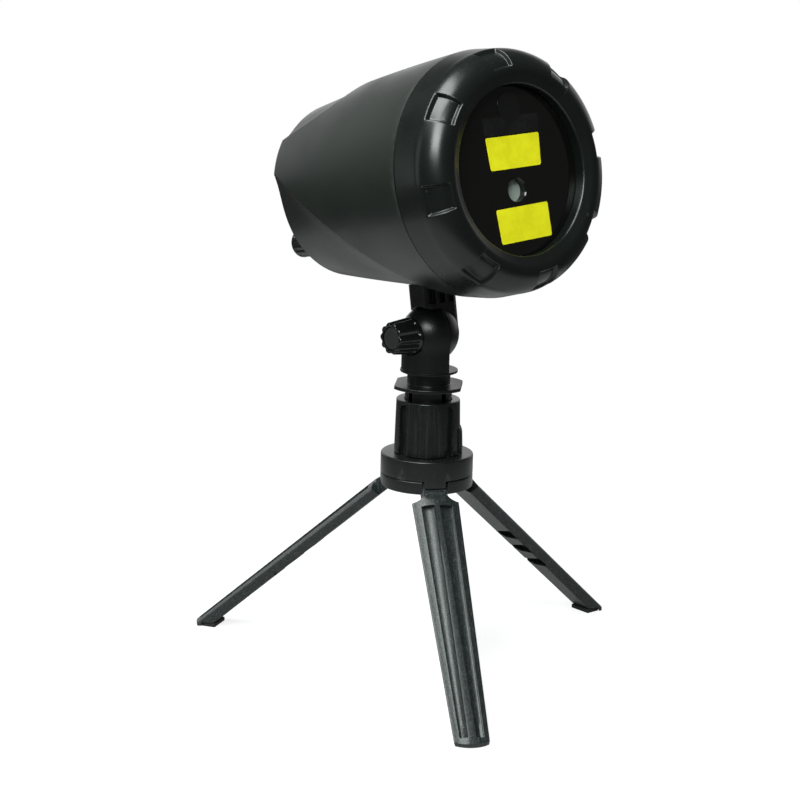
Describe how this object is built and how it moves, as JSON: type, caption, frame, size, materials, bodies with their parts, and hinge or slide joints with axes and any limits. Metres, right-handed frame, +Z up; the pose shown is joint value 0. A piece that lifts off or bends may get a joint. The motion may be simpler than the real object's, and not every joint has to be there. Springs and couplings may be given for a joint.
{
  "type": "laser light projector",
  "caption": "Black barrel-shaped laser light head with a notched front ring, on a knob-clamped tilting knuckle that stands in a small folding table tripod.",
  "frame": {"origin": "the middle of the base of the object's box, on the plane that the foot pads stand on", "axes": "+Z up along the stem; -Y is where the head's front faces, with its beam 10 degrees above level; -X is the clamp knob's side"},
  "size_m": [0.1962, 0.2216, 0.3071],
  "materials": {
    "barrel_black": "satin black moulding with a fine spark-eroded grain",
    "ring_black": "satin black moulding, finely grained, smooth on its rounded lip",
    "gloss_black": "polished black plastic",
    "knuckle_black": "semi-gloss black moulding",
    "stand_black": "charcoal glass-filled plastic with a fine glittering grain",
    "rubber": "black moulded rubber",
    "window_glass": "clear glass",
    "steel": "zinc-plated steel",
    "brass": "turned brass",
    "aluminium": "die-cast and folded aluminium",
    "board_green": "green circuit board",
    "optic": "coated optical glass"
  },
  "bodies": {
    "stand": {"hub_upper": "stand_black", "hub_lower": "stand_black", "leg_pin_1": "steel", "leg_pin_2": "steel", "leg_pin_3": "steel", "hub_screw_1": "steel", "hub_screw_2": "steel", "hub_screw_3": "steel", "socket_column": "stand_black", "stem_plug": "knuckle_black"},
    "leg_1": {"leg_1": "stand_black", "foot_pad_1": "rubber"},
    "leg_2": {"leg_2": "stand_black", "foot_pad_2": "rubber"},
    "leg_3": {"leg_3": "stand_black", "foot_pad_3": "rubber"},
    "swivel": {"lower_knuckle": "knuckle_black", "swivel_screw": "steel"},
    "knob": {"clamp_knob": "knuckle_black", "knob_cap": "knuckle_black", "clamp_bolt": "steel"},
    "head": {"barrel_shell": "barrel_black", "front_ring": "ring_black", "ring_seal": "rubber", "front_panel": "gloss_black", "aperture_window": "window_glass", "power_inlet": "knuckle_black", "inlet_nut": "brass", "button_ring": "knuckle_black", "button_nut": "brass", "chassis": "aluminium", "laser_block": "aluminium", "green_laser": "brass", "red_laser": "brass", "beam_combiner": "optic", "grating_motor": "steel", "motor_strap": "steel", "driver_board": "board_green", "board_screw_1": "steel", "board_screw_2": "steel", "block_screw_1": "steel", "block_screw_2": "steel", "head_bracket": "knuckle_black", "bracket_screw_1": "steel", "bracket_screw_2": "steel", "clamp_nut": "steel"},
    "grating": {"grating_disc": "optic"},
    "button": {"mode_button": "rubber"}
  },
  "joints": [
    {"name": "leg_1_fold", "type": "hinge", "parent": "stand", "child": "leg_1", "pos_m": [-0.01182, -0.00103, 0.09306], "axis": [0.014, 0.9999, 0], "range_deg": [0, 48.6]},
    {"name": "leg_2_fold", "type": "hinge", "parent": "stand", "child": "leg_2", "pos_m": [-0.03637, 0.0136, 0.09306], "axis": [-0.8729, -0.4879, 0], "range_deg": [0, 48.6]},
    {"name": "leg_3_fold", "type": "hinge", "parent": "stand", "child": "leg_3", "pos_m": [-0.03677, -0.01497, 0.09306], "axis": [0.859, -0.512, 0], "range_deg": [0, 48.6]},
    {"name": "pan", "type": "hinge", "parent": "stand", "child": "swivel", "pos_m": [-0.02832, -0.0008, 0.1474], "axis": [0, 0, 1], "continuous": true},
    {"name": "clamp_turn", "type": "hinge", "parent": "swivel", "child": "knob", "pos_m": [-0.02832, -0.0008, 0.16636], "axis": [-1, 0, 0], "continuous": true},
    {"name": "head_tilt", "type": "hinge", "parent": "swivel", "child": "head", "pos_m": [-0.02832, -0.0008, 0.16636], "axis": [-1, 0, 0], "range_deg": [-65, 50]},
    {"name": "grating_spin", "type": "hinge", "parent": "head", "child": "grating", "pos_m": [-0.02832, 0.01332, 0.24642], "axis": [0, -0.9848, 0.1736], "continuous": true},
    {"name": "mode_press", "type": "slide", "parent": "head", "child": "button", "axis": [0, -0.9848, 0.1736], "range_m": [0, 0.0012], "stiffness_N_per_m": 900}
  ]
}
